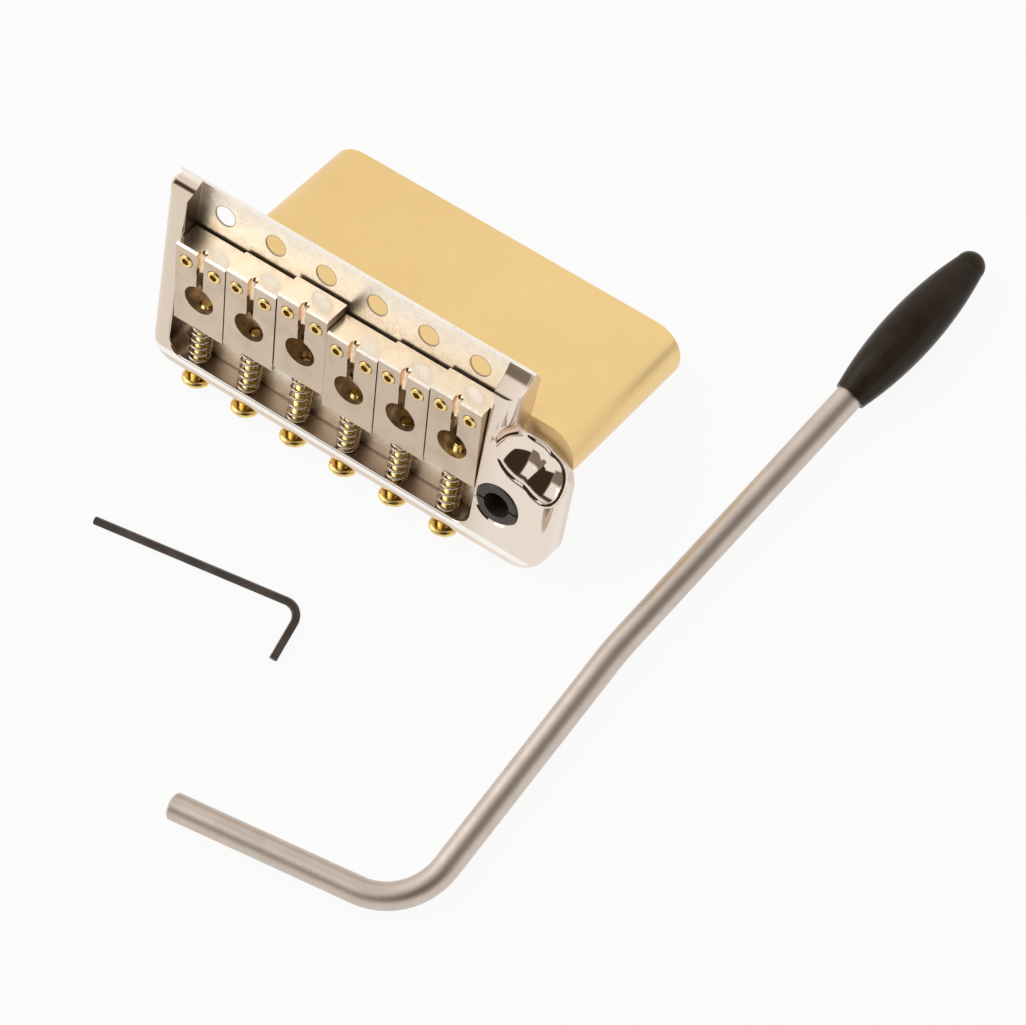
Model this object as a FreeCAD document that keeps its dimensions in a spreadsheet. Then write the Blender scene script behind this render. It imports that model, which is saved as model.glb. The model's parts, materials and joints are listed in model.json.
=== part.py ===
import FreeCAD, Part
import Sketcher
import math
import os

# Guitar tremolo bridge, taken off the guitar and laid on its back, with its arm and its hex key beside it.
# Bridge axes: X runs along the six mounting holes from bass to treble, Y points to the neck, Z out of the
# plate's top. Their zero is the middle of the hole row, on the plate's floor.

Vector = FreeCAD.Vector
Placement = FreeCAD.Placement
Rotation = FreeCAD.Rotation

strings = 6
block_screw_gaps = (-2, 0, 2)
hook_places = (-2, -1, 0, 1, 2)
quarter_turns = 18
# the dish's rim takes the first of these shares of its radius that the plate has room for
rim_shares = (1.0, 0.75, 0.5, 0.25)

sizes = {
    # base plate
    "string_pitch": 10.48,
    "mount_bore": 4.0,
    "mount_land": 0.3,
    "mount_relief": 10.2,
    "strip_front": 4.7,
    "bay_gap": 0.15,
    "bay_rear": 32.0,
    "bay_round": 3.0,
    "wall_left": 4.1,
    "wall_right": 4.3,
    "wall_rear": 3.9,
    "wall_height": 4.2,
    "floor_thick": 2.5,
    "tip_flare": 0.6,
    "boss_width": 10.6,
    "boss_front": 9.6,
    "waist_round": 2.8,
    "boss_front_round": 7.4,
    "boss_rear_round": 6.5,
    "rear_round": 4.9,
    "rim_round": 2.7,
    "bay_edge": 0.4,
    "front_land": 0.6,
    "bevel_run": 2.6,
    "scoop_radius": 8.0,
    "scoop_left": 2.0,
    "scoop_right": 4.2,
    "scoop_sill": 0.2,
    "dish_radius": 6.4,
    "dish_ahead": 9.5,
    "dish_above": 5.62,
    "dish_out": 3.9,
    "dish_step": 4.9,
    "dish_back": 1.6,
    "dish_ridge": 2.6,
    "dish_round": 0.8,
    "floor_hole": 6.0,
    "floor_hole_line": 15.2,
    # tremolo block and its screws
    "block_front": 6.8,
    "block_thick": 11.6,
    "block_past_string": 3.8,
    "block_past_arm": 9.2,
    "block_depth": 33.1,
    "block_round": 5.7,
    "hole_step": 1.08,
    "string_line": 13.4,
    "string_hole": 2.2,
    "ball_bore": 4.2,
    "ball_roof": 6.0,
    "hook_line": 9.4,
    "hook_hole": 2.2,
    "hook_depth": 7.0,
    "hook_step": 0.2,
    "block_screw": 3.5,
    "block_screw_head": 6.4,
    "block_screw_length": 14.0,
    "block_screw_line": 10.2,
    "block_screw_socket": 2.0,
    "block_screw_socket_depth": 1.2,
    # arm socket
    "collar_out": 0.4,
    "collar_back": 23.1,
    "collar_outer": 8.3,
    "collar_length": 13.0,
    "collar_slit": 0.4,
    "collar_bevel": 0.3,
    "socket_bevel": 0.3,
    "collar_slit_depth": 5.0,
    "collar_play": 0.02,
    "arm_play": 0.05,
    "tension_screw": 3.0,
    "tension_height": 0.8,
    "tension_sink": 0.6,
    "tension_socket": 1.5,
    "tension_socket_depth": 1.6,
    # saddles
    "saddle_gap": 0.18,
    "saddle_length": 19.0,
    "saddle_crown": 6.2,
    "saddle_drop": 2.3,
    "saddle_toe": 0.9,
    "saddle_heel": 0.35,
    "saddle_front_1": 4.93,
    "saddle_front_2": 4.34,
    "saddle_front_3": 3.09,
    "saddle_front_4": 5.09,
    "saddle_front_5": 4.32,
    "saddle_front_6": 3.51,
    "ball_back": 11.4,
    "ball_mouth": 6.0,
    "slot_width": 1.5,
    "slot_depth": 2.2,
    # height screws
    "height_screw": 2.3,
    "height_spread": 5.85,
    "height_back": 3.25,
    "height_cone": 0.4,
    "height_socket_depth": 1.6,
    "height_rest": 0.1,
    "thread_play": 0.05,
    # intonation screws and springs
    "screw_line": 2.15,
    "intonation_screw": 2.3,
    "wall_bore": 3.0,
    "head_width": 5.2,
    "head_height": 2.2,
    "head_rim": 0.8,
    "head_gap": 0.25,
    "cross_span": 2.8,
    "cross_width": 0.7,
    "cross_depth": 1.0,
    "screw_reach": 13.1,
    "screw_reach_long": 15.6,
    "spring_wire": 0.5,
    "spring_mean": 3.5,
    "spring_hook": 0.8,
    # arm and its tip
    "arm_rod": 4.9,
    "arm_short": 45.3,
    "arm_angle": 78.6,
    "arm_bend": 12.0,
    "arm_middle": 56.3,
    "arm_bow": 4.9,
    "arm_bow_bend": 60.0,
    "arm_upper": 58.6,
    "arm_in_tip": 16.0,
    "arm_chamfer": 0.4,
    "tip_length": 33.3,
    "tip_mouth": 5.8,
    "tip_belly": 9.2,
    "tip_belly_at": 14.9,
    "tip_end": 5.4,
    "tip_play": 0.02,
    "arm_x": 15.4,
    "arm_y": -84.6,
    "arm_heading": 7.4,
    # hex key
    "key_flat": 1.3,
    "key_long": 40.6,
    "key_short": 10.3,
    "key_angle": 93.5,
    "key_bend": 3.0,
    "key_play": 0.05,
    "key_x": -26.5,
    "key_y": -49.9,
    "key_heading": 8.4,
}

# what follows from those: the bay holds six saddles, the boss stands on its right wall, and the block reaches
# from the first string to past the arm
derived = {
    "saddle_width": "string_pitch - saddle_gap",
    "bay_half": "3 * string_pitch - 0.5 * saddle_gap + bay_gap",
    "boss_reach": "bay_half + wall_right + boss_width",
    "collar_side": "bay_half + wall_right + collar_out",
    "dish_start": "bay_half + wall_right + dish_out",
    "hole_pitch": "string_pitch - hole_step",
    "block_left": "2.5 * hole_pitch + block_past_string",
    "block_right": "collar_side + block_past_arm",
}

doc = FreeCAD.newDocument("tremolo_bridge")
sheet = doc.addObject("Spreadsheet::Sheet", "Sizes")
cells = {**{alias: str(number) for alias, number in sizes.items()},
         **{alias: "=" + text for alias, text in derived.items()}}
for row, (alias, content) in enumerate(cells.items(), start=1):
    sheet.set("A%d" % row, alias)
    sheet.setAlias("B%d" % row, alias)
    sheet.set("B%d" % row, content)
doc.recompute()


def is_number(word):
    return word.replace(".", "", 1).replace("-", "", 1).isdigit()


def words_of(text):
    # a sum such as "bay_rear + 0.5*wall_rear", as signed (factor, alias) pairs
    sign = 1.0
    pairs = []
    for word in text.split():
        if word in ("+", "-"):
            sign = 1.0 if word == "+" else -1.0
            continue
        factor, star, alias = word.rpartition("*")
        if is_number(alias):
            pairs.append((sign * float(alias), None))
        elif star:
            pairs.append((sign * float(factor), alias))
        elif alias.startswith("-"):
            pairs.append((-sign, alias[1:]))
        else:
            pairs.append((sign, alias))
    return pairs


def size(text):
    return sum(factor * (float(sheet.get(alias)) if alias else 1.0) for factor, alias in words_of(text))


def bound(text):
    parts = ["%r * Sizes.%s" % (factor, alias) if alias else repr(factor) for factor, alias in words_of(text)]
    return " + ".join(parts)


def bind(thing, name, text):
    thing.setExpression(name, bound(text))


def body_named(name):
    return doc.addObject("PartDesign::Body", name)


def sketch_on(body, role, name, offset=None, rise=None):
    sketch = body.newObject("Sketcher::SketchObject", name)
    plane = next(feature for feature in body.Origin.OriginFeatures if feature.Role == role)
    sketch.AttachmentSupport = [(plane, "")]
    sketch.MapMode = "FlatFace"
    if offset:
        bind(sketch, "AttachmentOffset.Base.z", offset)
    if rise:
        bind(sketch, "AttachmentOffset.Base.y", rise)
    return sketch


def constrain(sketch, kind, ends, text):
    number = sketch.addConstraint(Sketcher.Constraint(kind, *ends, size(text)))
    bind(sketch, "Constraints[%d]" % number, text)


def fix_point(sketch, edge, end, place):
    constrain(sketch, "DistanceX", (-1, 1, edge, end), place[0])
    constrain(sketch, "DistanceY", (-1, 1, edge, end), place[1])


def flat(place):
    return Vector(size(place[0]), size(place[1]), 0)


def polygon(sketch, places):
    first = sketch.GeometryCount
    count = len(places)
    for n, place in enumerate(places):
        following = places[(n + 1) % count]
        sketch.addGeometry(Part.LineSegment(flat(place), flat(following)), False)
    for n, place in enumerate(places):
        before = first + (n - 1) % count
        sketch.addConstraint(Sketcher.Constraint("Coincident", before, 2, first + n, 1))
        fix_point(sketch, first + n, 1, place)


def circles(sketch, places, width):
    for place in places:
        edge = sketch.addGeometry(Part.Circle(flat(place), Vector(0, 0, 1), 0.5 * size(width)), False)
        fix_point(sketch, edge, 3, place)
        constrain(sketch, "Diameter", (edge,), width)


def prism(body, kind, sketch, name, length, flip=False, middle=False):
    feature = body.newObject("PartDesign::" + kind, name)
    feature.Profile = sketch
    bind(feature, "Length", length)
    feature.Reversed = flip
    if middle:
        feature.SideType = "Symmetric"
    doc.recompute()
    return feature


def edges_where(feature, test):
    return ["Edge%d" % (n + 1) for n, edge in enumerate(feature.Shape.Edges) if test(edge)]


def upright_at(place):
    spot = flat(place)
    return lambda edge: all(math.hypot(v.X - spot.x, v.Y - spot.y) < 0.01 for v in edge.Vertexes)


def dress(body, kind, base, edges, name, key, text):
    feature = body.newObject("PartDesign::" + kind, name)
    feature.Base = (base, edges)
    feature.setExpression(key, text)
    doc.recompute()
    return feature


def primitive(kind, name, lengths, place, turn=Rotation()):
    thing = doc.addObject("Part::" + kind, name)
    thing.Placement = Placement(Vector(), turn)
    for key, text in lengths.items():
        bind(thing, key, text)
    for axis, text in zip("xyz", place):
        bind(thing, "Placement.Base." + axis, text)
    return thing


def fuse(name, things):
    joined = doc.addObject("Part::MultiFuse", name)
    joined.Shapes = things
    return joined


def cut(name, base, tool):
    result = doc.addObject("Part::Cut", name)
    result.Base = base
    result.Tool = tool
    return result


def compound(name, things):
    group = doc.addObject("Part::Compound", name)
    group.Links = things
    return group


along_x = Rotation(Vector(0, 1, 0), 90)
along_y = Rotation(Vector(1, 0, 0), -90)
against_y = Rotation(Vector(1, 0, 0), 90)
bridge_parts = {}
string_x = ["%.1f*string_pitch" % (n - 0.5 * (strings - 1)) for n in range(strings)]
hole_x = ["%.1f*hole_pitch" % (n - 0.5 * (strings - 1)) for n in range(strings)]
saddle_front = ["saddle_front_%d" % (n + 1) for n in range(strings)]
screw_reach = ["screw_reach"] * (strings - 1) + ["screw_reach_long"]


def base_plate():
    body = body_named("plate_body")
    rear = "-bay_rear - wall_rear"
    waist = ("bay_half + wall_right", "-boss_front")
    boss_front = ("boss_reach", "-boss_front")
    boss_rear = ("boss_reach", rear)
    rear_left = ("-bay_half - wall_left", rear)
    front_left = ("-bay_half - wall_left - tip_flare", "strip_front")
    front_right = ("bay_half + wall_right + tip_flare", "strip_front")
    outline = sketch_on(body, "XY_Plane", "plate_outline", "-floor_thick")
    polygon(outline, [front_left, rear_left, boss_rear, boss_front, waist, front_right])
    solid = prism(body, "Pad", outline, "plate_slab", "floor_thick + wall_height")
    rounds = {"rear_round": rear_left, "boss_rear_round": boss_rear,
              "boss_front_round": boss_front, "waist_round": waist}
    for radius, corner in rounds.items():
        edges = edges_where(solid, upright_at(corner))
        solid = dress(body, "Fillet", solid, edges, "corner_" + radius, "Radius", "Sizes." + radius)

    def on_rim(edge):
        top = all(abs(v.Z - size("wall_height")) < 0.01 for v in edge.Vertexes)
        front = all(abs(v.Y - size("strip_front")) < 0.01 for v in edge.Vertexes)
        return top and not front

    solid = dress(body, "Fillet", solid, edges_where(solid, on_rim), "rim", "Radius", "Sizes.rim_round")

    bay = sketch_on(body, "XY_Plane", "bay_outline")
    bay_left = ("-bay_half", "-bay_rear")
    bay_right = ("bay_half", "-bay_rear")
    polygon(bay, [bay_left, bay_right, ("bay_half", "2*strip_front"), ("-bay_half", "2*strip_front")])
    solid = prism(body, "Pocket", bay, "bay", "2*wall_height", flip=True)
    for corner in (bay_left, bay_right):
        edges = edges_where(solid, upright_at(corner))
        solid = dress(body, "Fillet", solid, edges, "bay_corner", "Radius", "Sizes.bay_round")

    def on_bay_edge(edge):
        within = all(abs(v.X) < size("bay_half") + 0.01 for v in edge.Vertexes)
        ahead = all(v.Y > size("-bay_rear") - 0.01 for v in edge.Vertexes)
        return within and ahead and all(abs(v.Z - size("wall_height")) < 0.01 for v in edge.Vertexes)

    edges = edges_where(solid, on_bay_edge)
    solid = dress(body, "Fillet", solid, edges, "bay_edges", "Radius", "Sizes.bay_edge")

    bevel = sketch_on(body, "YZ_Plane", "bevel_outline")
    polygon(bevel, [("strip_front", "-front_land"), ("strip_front", "-floor_thick"),
                    ("strip_front - bevel_run", "-floor_thick")])
    prism(body, "Pocket", bevel, "knife_bevel", "4*boss_reach", middle=True)

    holes = sketch_on(body, "XY_Plane", "mount_circles")
    circles(holes, [(x, "0*string_pitch") for x in string_x], "mount_bore")
    prism(body, "Pocket", holes, "mount_holes", "2*floor_thick")
    openings = sketch_on(body, "XY_Plane", "string_circles")
    circles(openings, [(x, "-floor_hole_line") for x in hole_x], "floor_hole")
    prism(body, "Pocket", openings, "string_openings", "2*floor_thick")
    bores = sketch_on(body, "XZ_Plane", "wall_circles", "bay_rear - 0.5*bay_round")
    circles(bores, [(x, "screw_line") for x in string_x], "wall_bore")
    prism(body, "Pocket", bores, "wall_bores", "bay_round + wall_rear", flip=True)
    socket = sketch_on(body, "XY_Plane", "collar_circle", "2*wall_height")
    circles(socket, [("collar_side", "-collar_back")], "collar_outer")
    prism(body, "Pocket", socket, "collar_bore", "4*wall_height + floor_thick")
    tension = sketch_on(body, "XZ_Plane", "tension_circle", "bay_rear + 2*wall_rear")
    circles(tension, [("collar_side", "tension_height")], "tension_screw")
    prism(body, "Pocket", tension, "tension_bore", "bay_rear + 2*wall_rear - collar_back")

    cutters = []
    for side, run in (("left", size("scoop_left")), ("right", size("scoop_right"))):
        rise = size("wall_height - scoop_sill")
        chord = math.hypot(run, rise)
        bulge = math.sqrt(size("scoop_radius") ** 2 - 0.25 * chord ** 2)
        middle_y = size("strip_front") - 0.5 * run
        middle_z = size("scoop_sill") + 0.5 * rise
        scoop = doc.addObject("Part::Cylinder", "scoop_" + side)
        bind(scoop, "Radius", "scoop_radius")
        bind(scoop, "Height", "2*bay_half")
        start = -2 * size("bay_half") if side == "left" else 0
        centre = Vector(start, middle_y + bulge * rise / chord, middle_z + bulge * run / chord)
        scoop.Placement = Placement(centre, along_x)
        cutters.append(scoop)
    # the dish is two round hollows side by side, with a soft ridge between them
    hollows = [primitive("Sphere", "dish_hollow", {"Radius": "dish_radius"}, place, along_y)
               for place in (("dish_start", "-dish_ahead", "dish_above"),
                             ("dish_start + dish_step", "-dish_ahead - dish_back", "dish_above"))]
    both = fuse("dish_pair", hollows)
    doc.recompute()

    def on_ridge(edge):
        faces = both.Shape.ancestorsOfType(edge, Part.Face)
        return len(faces) == 2 and not faces[0].isSame(faces[1])

    dish = doc.addObject("Part::Fillet", "dish")
    dish.Base = both
    ridge_radius = size("dish_ridge")
    dish.Edges = [(n + 1, ridge_radius, ridge_radius)
                  for n, edge in enumerate(both.Shape.Edges) if on_ridge(edge)]
    cutters.append(dish)
    # the mounting holes open out below a thin land, and the socket has a bevelled mouth
    for x in string_x:
        cutters.append(primitive("Cone", "mount_relief",
                                 {"Radius1": "0.5*mount_relief", "Radius2": "0.5*mount_bore",
                                  "Height": "floor_thick - mount_land"},
                                 (x, "0*string_pitch", "-floor_thick")))
    cutters.append(primitive("Cone", "socket_mouth",
                             {"Radius1": "0.5*collar_outer", "Radius2": "0.5*collar_outer + socket_bevel",
                              "Height": "socket_bevel"},
                             ("collar_side", "-collar_back", "wall_height - socket_bevel")))
    for gap in block_screw_gaps:
        cutters.append(screw_cone("seat_%d" % gap, gap, "collar_play"))
        cutters.append(primitive("Cylinder", "seat_bore_%d" % gap,
                                 {"Radius": "0.5*block_screw + collar_play", "Height": "4*floor_thick"},
                                 ("%d*hole_pitch" % gap, "-block_screw_line", "-2*floor_thick")))
    sharp = cut("plate_sharp", body, fuse("plate_cutters", cutters))
    doc.recompute()

    def in_dish(face):
        if face.Surface.TypeId == "Part::GeomSphere":
            return abs(face.Surface.Radius - size("dish_radius")) < 0.001
        if face.Surface.TypeId == "Part::GeomToroid":
            return abs(face.Surface.MinorRadius - size("dish_ridge")) < 0.001
        return False

    def on_dish_rim(edge):
        faces = sharp.Shape.ancestorsOfType(edge, Part.Face)
        return sum(in_dish(face) for face in faces) == 1

    rounded = doc.addObject("Part::Fillet", "base_plate")
    rounded.Base = sharp
    rim = [n + 1 for n, edge in enumerate(sharp.Shape.Edges) if on_dish_rim(edge)]
    for share in rim_shares:
        rim_radius = share * size("dish_round")
        rounded.Edges = [(n, rim_radius, rim_radius) for n in rim]
        doc.recompute()
        if not rounded.Shape.isNull() and rounded.Shape.isValid():
            break
    bridge_parts["base_plate"] = rounded


def screw_cone(name, gap, play):
    # a countersunk head, flush with the floor, with its flanks at 45 degrees
    return primitive("Cone", name,
                     {"Radius1": "0.5*block_screw + " + play, "Radius2": "0.5*block_screw_head + " + play,
                      "Height": "0.5*block_screw_head - 0.5*block_screw"},
                     ("%d*hole_pitch" % gap, "-block_screw_line",
                      "0.5*block_screw - 0.5*block_screw_head"))


def tremolo_block():
    body = body_named("block_body")
    left = "-block_left"
    right = "block_right"
    front = "-block_front"
    rear = "-block_front - block_thick"
    corners = [(left, rear), (right, rear), (right, front), (left, front)]
    outline = sketch_on(body, "XY_Plane", "block_outline", "-floor_thick")
    polygon(outline, corners)
    solid = prism(body, "Pad", outline, "block_bar", "block_depth", flip=True)
    edges = [name for corner in corners for name in edges_where(solid, upright_at(corner))]
    dress(body, "Fillet", solid, edges, "block_ends", "Radius",
          "min(Sizes.block_round; 0.49 * Sizes.block_thick)")
    string_places = [(x, "-string_line") for x in hole_x]
    strings_top = sketch_on(body, "XY_Plane", "string_holes", "-floor_thick")
    circles(strings_top, string_places, "string_hole")
    prism(body, "Pocket", strings_top, "string_bores", "block_depth")
    balls = sketch_on(body, "XY_Plane", "ball_circles", "-floor_thick - block_depth")
    circles(balls, string_places, "ball_bore")
    prism(body, "Pocket", balls, "ball_bores", "block_depth - ball_roof", flip=True)
    # each hook hole is a little deeper than the one before, so that no two floors lie in one plane
    for step, gap in enumerate(hook_places):
        hook = sketch_on(body, "XY_Plane", "hook_circle", "-floor_thick - block_depth")
        circles(hook, [("%d*hole_pitch" % gap, "-hook_line")], "hook_hole")
        prism(body, "Pocket", hook, "hook_bore", "hook_depth + %d*hook_step" % step, flip=True)
    tapped = sketch_on(body, "XY_Plane", "tapped_circles", "-floor_thick")
    circles(tapped, [("%d*hole_pitch" % n, "-block_screw_line") for n in block_screw_gaps], "block_screw")
    prism(body, "Pocket", tapped, "tapped_holes", "block_screw_length - floor_thick")
    seats = [primitive("Cone", "ball_seat",
                       {"Radius1": "0.5*ball_bore", "Radius2": "0.5*string_hole",
                        "Height": "0.5*ball_bore - 0.5*string_hole"},
                       (x, "-string_line", "-floor_thick - ball_roof")) for x in hole_x]
    bridge_parts["tremolo_block"] = cut("tremolo_block", body, fuse("ball_seats", seats))


def block_screws():
    screws = []
    for gap in block_screw_gaps:
        x = "%d*hole_pitch" % gap
        head = screw_cone("block_head_%d" % gap, gap, "0*collar_play")
        shank = primitive("Cylinder", "block_shank_%d" % gap,
                          {"Radius": "0.5*block_screw - collar_play",
                           "Height": "block_screw_length - 0.5*block_screw_head + 0.5*block_screw"},
                          (x, "-block_screw_line", "-block_screw_length"))
        socket = primitive("Prism", "block_socket_%d" % gap,
                           {"Circumradius": "0.57735*block_screw_socket",
                            "Height": "2*block_screw_socket_depth"},
                           (x, "-block_screw_line", "-block_screw_socket_depth"))
        screws.append(cut("block_screw_%d" % gap, fuse("block_blank_%d" % gap, [head, shank]), socket))
    bridge_parts["block_screws"] = compound("block_screws", screws)


def arm_socket():
    place = ("collar_side", "-collar_back", "wall_height - collar_length")
    tube = primitive("Cylinder", "collar_tube",
                     {"Radius": "0.5*collar_outer - collar_play",
                      "Height": "collar_length - collar_bevel"}, place)
    lip = primitive("Cone", "collar_lip",
                    {"Radius1": "0.5*collar_outer - collar_play",
                     "Radius2": "0.5*collar_outer - collar_play - collar_bevel", "Height": "collar_bevel"},
                    ("collar_side", "-collar_back", "wall_height - collar_bevel"))
    outer = fuse("collar_outside", [tube, lip])
    bore = primitive("Cylinder", "collar_hole",
                     {"Radius": "0.5*arm_rod + arm_play", "Height": "collar_length"}, place)
    slit = primitive("Box", "collar_slit",
                     {"Length": "2*collar_outer", "Width": "collar_slit", "Height": "2*collar_slit_depth"},
                     ("collar_side - collar_outer", "-collar_back - 0.5*collar_slit",
                      "wall_height - collar_slit_depth"))
    bridge_parts["arm_bushing"] = cut("arm_bushing", outer, fuse("collar_cutters", [bore, slit]))
    rear = "-bay_rear - wall_rear + tension_sink"
    screw = primitive("Cylinder", "tension_rod",
                      {"Radius": "0.5*tension_screw - collar_play",
                       "Height": "bay_rear + wall_rear - tension_sink - collar_back - 0.5*collar_outer"},
                      ("collar_side", rear, "tension_height"), along_y)
    socket = primitive("Prism", "tension_hex",
                       {"Circumradius": "0.57735*tension_socket", "Height": "2*tension_socket_depth"},
                       ("collar_side", rear + " - tension_socket_depth", "tension_height"), along_y)
    bridge_parts["arm_tension_screw"] = cut("arm_tension_screw", screw, socket)


def saddle_tilt():
    return math.degrees(math.atan2(size("saddle_drop"), size("saddle_length")))


def height_top(front):
    # the middle of a saddle's two height screws, on its sloping top
    back = size("height_back")
    fall = size("saddle_drop") * back / size("saddle_length")
    return Vector(0, -size(front) - back, size("saddle_crown") - fall)


def height_length(front):
    # down the leaning axis from the saddle's top to the floor
    return (height_top(front).z - size("height_rest")) / math.cos(math.radians(saddle_tilt()))


def saddle(number):
    front = saddle_front[number]
    label = "saddle_%d" % (number + 1)
    body = body_named(label + "_body")
    rear = "-%s - saddle_length" % front
    side = sketch_on(body, "YZ_Plane", label + "_side")
    polygon(side, [("-" + front, "saddle_toe"), ("-" + front, "saddle_crown"),
                   (rear, "saddle_crown - saddle_drop"), (rear, "saddle_heel")])
    prism(body, "Pad", side, label + "_wedge", "saddle_width", middle=True)
    mouth = sketch_on(body, "XY_Plane", label + "_mouth", "saddle_crown")
    circles(mouth, [("0*string_pitch", "-%s - ball_back" % front)], "ball_mouth")
    prism(body, "Pocket", mouth, label + "_ball_hole", "2*saddle_crown")
    slot = sketch_on(body, "XY_Plane", label + "_slot", "saddle_crown")
    half = "0.5*slot_width"
    polygon(slot, [("-" + half, "-%s - ball_back" % front), (half, "-%s - ball_back" % front),
                   (half, "-%s + slot_depth" % front), ("-" + half, "-%s + slot_depth" % front)])
    prism(body, "Pocket", slot, label + "_string_slot", "slot_depth")
    cutters = []
    lean = Rotation(Vector(1, 0, 0), saddle_tilt())
    for side_sign in (-1, 1):
        drill = doc.addObject("Part::Cylinder", label + "_drill")
        bind(drill, "Radius", "0.5*height_screw + thread_play")
        bind(drill, "Height", "4*saddle_crown")
        centre = height_top(front) + Vector(0.5 * side_sign * size("height_spread"), 0, 0)
        drill.Placement = Placement(centre - lean.multVec(Vector(0, 0, 2 * size("saddle_crown"))), lean)
        cutters.append(drill)
    cutters.append(primitive("Cylinder", label + "_bore",
                             {"Radius": "0.5*intonation_screw + thread_play",
                              "Height": "2*saddle_length - 2*ball_back"},
                             ("0*string_pitch", "-%s - 2*saddle_length + ball_back" % front, "screw_line"),
                             along_y))
    piece = cut(label, body, fuse(label + "_cutters", cutters))
    bridge_parts[label] = piece
    return piece


def height_screws(number):
    front = saddle_front[number]
    label = "height_screws_%d" % (number + 1)
    length = height_length(front)
    lean = Rotation(Vector(1, 0, 0), saddle_tilt())
    screws = []
    for side_sign in (-1, 1):
        top = height_top(front) + Vector(0.5 * side_sign * size("height_spread"), 0, 0)
        rod = doc.addObject("Part::Cylinder", label + "_rod")
        bind(rod, "Radius", "0.5*height_screw")
        rod.Height = length - size("height_cone")
        rod.Placement = Placement(top - lean.multVec(Vector(0, 0, length - size("height_cone"))), lean)
        point = doc.addObject("Part::Cone", label + "_point")
        bind(point, "Radius1", "0.5*height_screw - height_cone")
        bind(point, "Radius2", "0.5*height_screw")
        bind(point, "Height", "height_cone")
        point.Placement = Placement(top - lean.multVec(Vector(0, 0, length)), lean)
        socket = doc.addObject("Part::Prism", label + "_socket")
        bind(socket, "Circumradius", "0.57735*key_flat + 0.57735*key_play")
        bind(socket, "Height", "2*height_socket_depth")
        socket.Placement = Placement(top - lean.multVec(Vector(0, 0, size("height_socket_depth"))), lean)
        screws.append(cut(label + "_screw", fuse(label + "_blank", [rod, point]), socket))
    bridge_parts[label] = compound(label, screws)
    return bridge_parts[label]


def dome_radius():
    rise = size("head_height - head_rim")
    return (0.25 * size("head_width") ** 2 + rise ** 2) / (2 * rise)


def intonation_screw(number):
    label = "intonation_screw_%d" % (number + 1)
    body = body_named(label)
    profile = sketch_on(body, "XY_Plane", label + "_profile", "screw_line")
    seat = "-bay_rear - wall_rear - head_gap"
    rim = seat + " - head_rim"
    apex = seat + " - head_height"
    point = "-bay_rear + " + screw_reach[number]
    places = [("0*string_pitch", apex), ("0*string_pitch", point), ("0.5*intonation_screw", point),
              ("0.5*intonation_screw", seat), ("0.5*head_width", seat), ("0.5*head_width", rim)]
    for here, there in zip(places, places[1:]):
        profile.addGeometry(Part.LineSegment(flat(here), flat(there)), False)
    radius = dome_radius()
    half = 0.5 * math.asin(0.5 * size("head_width") / radius)
    crest = Vector(radius * math.sin(half), size(apex) + radius * (1 - math.cos(half)), 0)
    dome = profile.addGeometry(Part.Arc(flat(places[-1]), crest, flat(places[0])), False)
    lines = len(places) - 1
    for n in range(lines - 1):
        profile.addConstraint(Sketcher.Constraint("Coincident", n, 2, n + 1, 1))
    for n in range(lines):
        fix_point(profile, n, 1, places[n])
    fix_point(profile, lines - 1, 2, places[-1])
    ends = {1: profile.getPoint(dome, 1), 2: profile.getPoint(dome, 2)}
    outer = 1 if ends[1].x > ends[2].x else 2
    profile.addConstraint(Sketcher.Constraint("Coincident", dome, outer, lines - 1, 2))
    profile.addConstraint(Sketcher.Constraint("Coincident", dome, 3 - outer, 0, 1))
    profile.addConstraint(Sketcher.Constraint("PointOnObject", dome, 3, -2))
    turned = body.newObject("PartDesign::Revolution", label + "_turned")
    turned.Profile = profile
    turned.ReferenceAxis = (profile, ["V_Axis"])
    turned.Angle = 360
    doc.recompute()
    recess = sketch_on(body, "XZ_Plane", label + "_cross",
                       "bay_rear + wall_rear + head_gap + head_height", "screw_line")
    span = "0.5*cross_span"
    width = "0.5*cross_width"
    quarter = [(span, "-" + width), (span, width), (width, width)]
    arms = []
    for step in range(4):
        for x, y in quarter:
            for turn in range(step):
                x, y = (y[1:] if y.startswith("-") else "-" + y), x
            arms.append((x, y))
    polygon(recess, arms)
    prism(body, "Pocket", recess, label + "_recess", "cross_depth")
    bridge_parts[label] = body
    return body


def arc_pair(start, start_way, end, end_way):
    # two tangent arcs from one point and direction to another
    gap = end - start
    sum_way = start_way + end_way
    a = sum_way.dot(sum_way) - 4
    b = -2 * gap.dot(sum_way)
    c = gap.dot(gap)
    if abs(a) < 1e-9:
        reach = -c / b
    else:
        reach = (-b - math.sqrt(b * b - 4 * a * c)) / (2 * a)
    first = start + start_way * reach
    second = end - end_way * reach
    joint = (first + second) * 0.5
    arcs = []
    for begin, corner, finish in ((start, first, joint), (joint, second, end)):
        half = (corner - begin).getAngle(finish - corner) / 2
        weight = math.cos(half)
        middle = (begin + corner * (2 * weight) + finish) * (1 / (2 + 2 * weight))
        arcs.append(Part.Arc(begin, middle, finish).toShape())
    return arcs


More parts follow.
